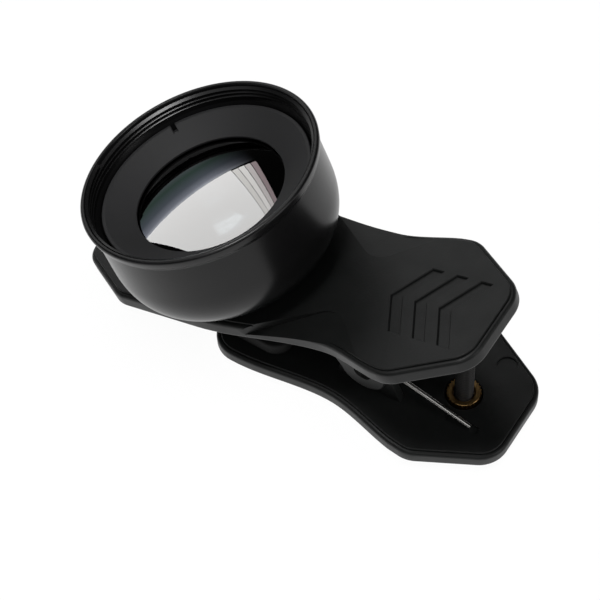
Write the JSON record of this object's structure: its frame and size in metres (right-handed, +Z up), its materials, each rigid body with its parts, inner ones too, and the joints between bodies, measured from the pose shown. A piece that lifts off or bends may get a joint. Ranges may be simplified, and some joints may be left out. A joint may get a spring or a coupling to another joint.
{
  "type": "clip-on phone lens",
  "caption": "Sprung plastic clip with six-sided thumb pad and clamp screw, carrying a wide-rimmed bowl-shaped macro lens on its upper jaw.",
  "frame": {"origin": "centre of the bounding box's underside, which is the table the clip lies on", "axes": "+X from the lens to the handles, +Y across the clip along the hinge pin, +Z up; the lens leans back by 20.4 degrees"},
  "size_m": [0.0764, 0.039, 0.0366],
  "materials": {
    "clip_plastic": "satin black moulding with a fine grain",
    "pad_rubber": "matt",
    "spring_steel": "drawn wire",
    "insert_brass": "machined",
    "screw_black": "black oxide",
    "knob_plastic": "satin",
    "barrel_anodised": "satin black anodised",
    "baffle_matt": "matt black, finely turned",
    "cell_black": "matt black anodised",
    "lens_glass": "polished and coated"
  },
  "bodies": {
    "lower": {"clip_lower": "clip_plastic", "lower_pad": "pad_rubber", "thread_insert": "insert_brass", "pivot_pin": "spring_steel", "torsion_spring": "spring_steel"},
    "upper": {"clip_upper": "clip_plastic", "upper_pad": "pad_rubber", "lens_barrel": "barrel_anodised", "front_baffle": "baffle_matt", "front_glass": "lens_glass", "spacer_ring": "cell_black", "middle_glass": "lens_glass", "optics_cell": "cell_black", "rear_glass": "lens_glass", "rear_retainer": "cell_black"},
    "screw": {"clamp_screw": "screw_black"},
    "knob": {"screw_knob": "knob_plastic"}
  },
  "joints": [
    {"name": "jaw_hinge", "type": "hinge", "parent": "lower", "child": "upper", "pos_m": [0.0148, 0, 0.01096], "axis": [0, 1, 0], "range_deg": [0, 25], "stiffness_Nm_per_rad": 0.15, "springref_deg": -45.84, "deforming": ["torsion_spring"]},
    {"name": "screw_travel", "type": "slide", "parent": "lower", "child": "screw", "axis": [0, 0, -1], "range_m": [0, 0.005]},
    {"name": "knob_turn", "type": "hinge", "parent": "screw", "child": "knob", "pos_m": [0.0281, 0, 0.00476], "axis": [0, 0, -1], "range_deg": [0, 3600]}
  ],
  "couplings": [
    {"joint": "knob_turn", "follows": "screw_travel", "rad_per_m": 12566}
  ]
}
